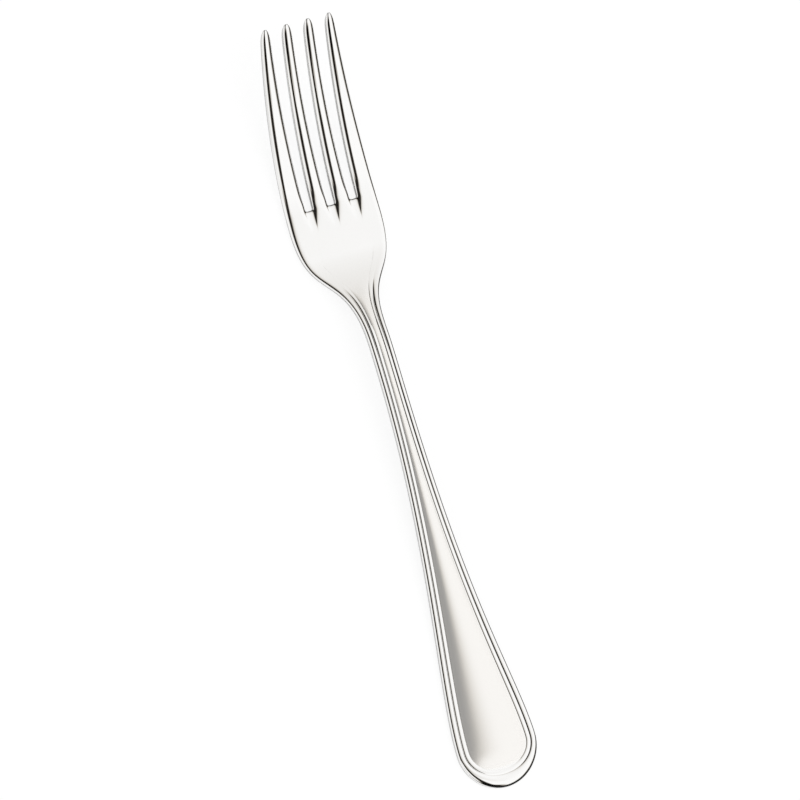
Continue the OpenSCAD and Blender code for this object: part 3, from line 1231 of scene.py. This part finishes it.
@dataclass(frozen=True)
class Surroundings:
    """Bright tent round the fork: brightness by the direction that a reflection looks in.

    Each stop is a part of the direction, from -1 to 1, and a brightness or a cover. A dark strip runs along
    the fork overhead on its left, the right horizon is dark, and a black card stands beyond the handle.
    """

    name: str = "tent"
    strip: Stops = (
        (-1.0, 0.95), (-0.8, 1.0), (-0.71, 0.5), (-0.62, 0.015), (-0.06, 0.015), (0.0, 0.1), (0.05, 0.34),
        (0.1, 0.57), (0.16, 0.74), (0.23, 0.89), (0.31, 0.985), (0.4, 1.02), (1.0, 1.03),
    )
    tine_strip: Stops = (
        (-1.0, 0.95), (-0.52, 1.0), (-0.44, 0.5), (-0.36, 0.015), (-0.01, 0.015), (0.03, 0.6), (0.07, 1.0),
        (0.11, 1.03), (1.0, 1.03),
    )
    tine_side: Stops = ((-1.0, 1.0), (-0.25, 1.0), (-0.15, 0.0), (1.0, 0.0))
    horizon: Stops = ((-1.0, 0.0), (0.76, 0.0), (0.86, 1.0), (1.0, 1.0))
    horizon_along: Stops = ((-1.0, 0.95), (0.35, 0.95), (0.6, 0.35), (1.0, 0.3))
    along: Stops = (
        (-1.0, 0.03), (-0.95, 0.05), (-0.9, 0.9), (-0.85, 1.0), (0.2, 1.0),
        (0.45, 0.92), (0.56, 0.87), (0.6, 0.84), (0.68, 0.1), (1.0, 0.05),
    )
    card_across: Stops = ((-1.0, 0.0), (-0.5, 0.0), (-0.35, 1.0), (0.12, 1.0), (0.28, 0.0), (1.0, 0.0))
    card_along: Stops = ((-1.0, 1.0), (-0.76, 1.0), (-0.62, 0.0), (1.0, 0.0))
    warmth: Colour = (1.0, 0.9, 0.74)  # colour of the darkest parts of the tent
    level: float = 1.0

    def build(self) -> bpy.types.World:
        """Builds the world: the tent for reflections, even white for all other light.

        Returns:
            The world.
        """
        world = bpy.data.worlds.new(self.name)
        world.use_nodes = True
        world.node_tree.nodes.clear()
        wiring = Wiring(world.node_tree)
        direction = wiring.add("TexCoord").outputs["Generated"]
        parts = wiring.add("SeparateXYZ", {"Vector": direction}).outputs
        brightness = self.brightness(wiring, parts["X"], parts["Y"])
        tone = wiring.toned(brightness, self.warmth, WHITE)
        tent = wiring.add("Background", {"Color": tone, "Strength": brightness}).outputs["Background"]
        plain = {"Color": rgba(WHITE), "Strength": self.level}
        even = wiring.add("Background", plain).outputs["Background"]
        wiring.add("OutputWorld", {"Surface": wiring.chosen(Ray.GLOSSY, even, tent)})
        return world

    def brightness(self, wiring: Wiring, across: Socket, along: Socket) -> Socket:
        """Adds the brightness of the tent in a direction.

        Args:
            wiring: Nodes of the world.
            across: Part of the direction across the fork.
            along: Part of the direction along the fork.

        Returns:
            Socket with the brightness.
        """
        lean = self.leaning(wiring, across, along)
        strips = {
            "Factor": self.stopped(wiring, along, self.tine_side),
            "A": self.stopped(wiring, lean, self.strip),
            "B": self.stopped(wiring, lean, self.tine_strip),
        }
        lit = wiring.add("Mix", strips).outputs["Result"]
        lit = wiring.reckoned("MULTIPLY", lit, self.stopped(wiring, along, self.along))
        covers = (
            ((lean, self.horizon), (along, self.horizon_along)),
            ((across, self.card_across), (along, self.card_along)),
        )
        for pair in covers:
            cover = wiring.reckoned("MULTIPLY", *(self.stopped(wiring, *part) for part in pair))
            lit = wiring.reckoned("MULTIPLY", lit, wiring.reckoned("SUBTRACT", 1.0, cover))
        return lit

    def leaning(self, wiring: Wiring, across: Socket, along: Socket) -> Socket:
        """Adds the sideways lean of a direction, seen along the fork.

        Args:
            wiring: Nodes of the world.
            across: Part of the direction across the fork.
            along: Part of the direction along the fork.

        Returns:
            Socket with the lean, from -1 for the left horizon to 1 for the right one.
        """
        squared = wiring.reckoned("MULTIPLY", along, along)
        length = wiring.reckoned("SQRT", wiring.reckoned("SUBTRACT", 1.0, squared))
        return wiring.reckoned("DIVIDE", across, length)

    def stopped(self, wiring: Wiring, source: Socket, stops: Stops) -> Socket:
        """Adds a curve from a part of the direction to a brightness or a cover.

        Args:
            wiring: Nodes of the world.
            source: Part of the direction, from -1 to 1.
            stops: Parts of the direction with their brightness or cover.

        Returns:
            Socket with the brightness or cover.
        """
        shades = wiring.add("ValToRGB", {"Fac": wiring.ranged(source, (-1.0, 1.0))})
        elements = shades.color_ramp.elements
        while len(elements) < len(stops):
            elements.new(1.0)
        for element, (part, brightness) in zip(elements, stops):
            element.position = (part + 1) / 2
            element.color = rgba((brightness, brightness, brightness))
        return shades.outputs["Color"]


@dataclass(frozen=True)
class Floor:
    """White table that the fork lies on. It shows white, with a faint shadow of the fork.

    Sizes are in metres. Each shade is given by the places where it starts and where it is whole.
    """

    name: str = "floor"
    size: float = 12.0
    gap: float = 0.0002
    colour: Colour = (0.95, 0.95, 0.95)
    shade: Colour = (0.02, 0.02, 0.02)
    shadow_share: float = 0.12
    shade_right: Pair = (-0.004, 0.001)  # across the fork
    shade_head: Pair = (0.045, 0.035)  # along the fork
    shade_end: Pair = (0.0, 0.001)  # beyond the end of the handle

    def build(self) -> bpy.types.Object:
        """Builds the floor with its material.

        Returns:
            The floor.
        """
        mesh = bmesh.new()
        bmesh.ops.create_grid(mesh, x_segments=1, y_segments=1, size=self.size / 2)
        bmesh.ops.translate(mesh, vec=(0.0, 0.0, CAD_BOX[0].z - self.gap), verts=mesh.verts)
        floor = placed(self.name, mesh)
        floor.data.materials.append(self.material())
        return floor

    def material(self) -> bpy.types.Material:
        """Builds the floor's white. The camera sees it lightened, and reflections see it in the shade.

        Returns:
            The node material.
        """
        made = bpy.data.materials.new(self.name)
        made.use_nodes = True
        made.node_tree.nodes.clear()
        wiring = Wiring(made.node_tree)
        matt = wiring.add("BsdfDiffuse", {"Color": rgba(self.colour)}).outputs["BSDF"]
        shaded = wiring.add("BsdfDiffuse", {"Color": self.shaded(wiring)}).outputs["BSDF"]
        white = wiring.add("Emission").outputs["Emission"]
        lightened = {"Fac": self.shadow_share, 1: white, 2: matt}
        shown = wiring.add("MixShader", lightened).outputs["Shader"]
        unseen = wiring.chosen(Ray.GLOSSY, matt, shaded)
        wiring.add("OutputMaterial", {"Surface": wiring.chosen(Ray.CAMERA, unseen, shown)})
        return made

    def shaded(self, wiring: Wiring) -> Socket:
        """Adds the table as the fork reflects it: in the shade right of the handle and beyond its end.

        Args:
            wiring: Nodes of the floor's material.

        Returns:
            Socket with the colour.
        """
        place = wiring.add("TexCoord").outputs["Object"]
        parts = wiring.add("SeparateXYZ", {"Vector": place}).outputs
        right = wiring.ranged(parts["X"], self.shade_right)
        beside = wiring.ranged(parts["Y"], self.shade_head)
        start, whole = self.shade_end
        beyond = wiring.ranged(parts["Y"], (CAD_BOX[0].y - start, CAD_BOX[0].y - whole))
        either = wiring.reckoned("MAXIMUM", wiring.reckoned("MULTIPLY", right, beside), beyond)
        return wiring.toned(either, self.colour, self.shade)


@dataclass(frozen=True)
class Softbox:
    """Large soft lamp over the table. Sizes are in metres, and its power is in watts."""

    name: str = "overhead_lamp"
    place: tuple[float, float, float] = (0.5, -0.3, 1.4)
    size: float = 1.2
    power: float = 6.0

    def build(self) -> bpy.types.Object:
        """Hangs the lamp over the table, facing the fork and unseen in reflections.

        Returns:
            The lamp.
        """
        data = bpy.data.lights.new(self.name, "AREA")
        data.shape = "SQUARE"
        data.size = self.size
        data.energy = self.power
        lamp = bpy.data.objects.new(self.name, data)
        lamp.location = self.place
        lamp.rotation_euler = (-Vector(self.place)).to_track_quat("-Z", "Y").to_euler()
        lamp.visible_glossy = False
        bpy.context.scene.collection.objects.link(lamp)
        return lamp


@dataclass(frozen=True)
class Camera:
    """Camera at the photograph's viewing angle. Angles are in degrees, distances in metres."""

    name: str = "camera"
    azimuth: float = -84.06
    elevation: float = 71.576
    roll: float = 67.298
    distance: float = 2.03886
    lens: float = 302.295  # in millimetres
    aim_height: float = 0.008
    move_right: float = 0.000112
    move_up: float = 0.001841

    def build(self) -> bpy.types.Object:
        """Sets up the scene's camera.

        Returns:
            The camera.
        """
        turn, lift, roll = map(math.radians, (self.azimuth, self.elevation, self.roll))
        back = Vector((
            math.sin(turn) * math.cos(lift), -math.cos(turn) * math.cos(lift), math.sin(lift)
        ))
        level = Vector((0.0, 0.0, 1.0)).cross(back).normalized()
        steep = back.cross(level)
        right = level * math.cos(roll) + steep * math.sin(roll)
        up = steep * math.cos(roll) - level * math.sin(roll)
        data = bpy.data.cameras.new(self.name)
        data.lens = self.lens
        camera = bpy.data.objects.new(self.name, data)
        bpy.context.scene.collection.objects.link(camera)
        aim = Vector((0.0, (CAD_BOX[0].y + CAD_BOX[1].y) / 2, self.aim_height))
        place = aim + back * self.distance + right * self.move_right + up * self.move_up
        turned = Matrix((right, up, back)).transposed().to_4x4()
        camera.matrix_world = Matrix.Translation(place) @ turned
        bpy.context.scene.camera = camera
        return camera


def main() -> None:
    """Builds the fork and its studio."""
    logging.basicConfig(level=logging.INFO)
    bpy.context.scene.view_settings.view_transform = "Standard"
    Camera().build()
    bpy.context.scene.world = Surroundings().build()
    Floor().build()
    Softbox().build()
    fork = Fork.from_frame()
    piece = fork.build()
    fork.dress(piece, Steel())
    LOG.info("%s: %d cage faces", piece.name, len(piece.data.polygons))


if __name__ == "__main__":
    main()
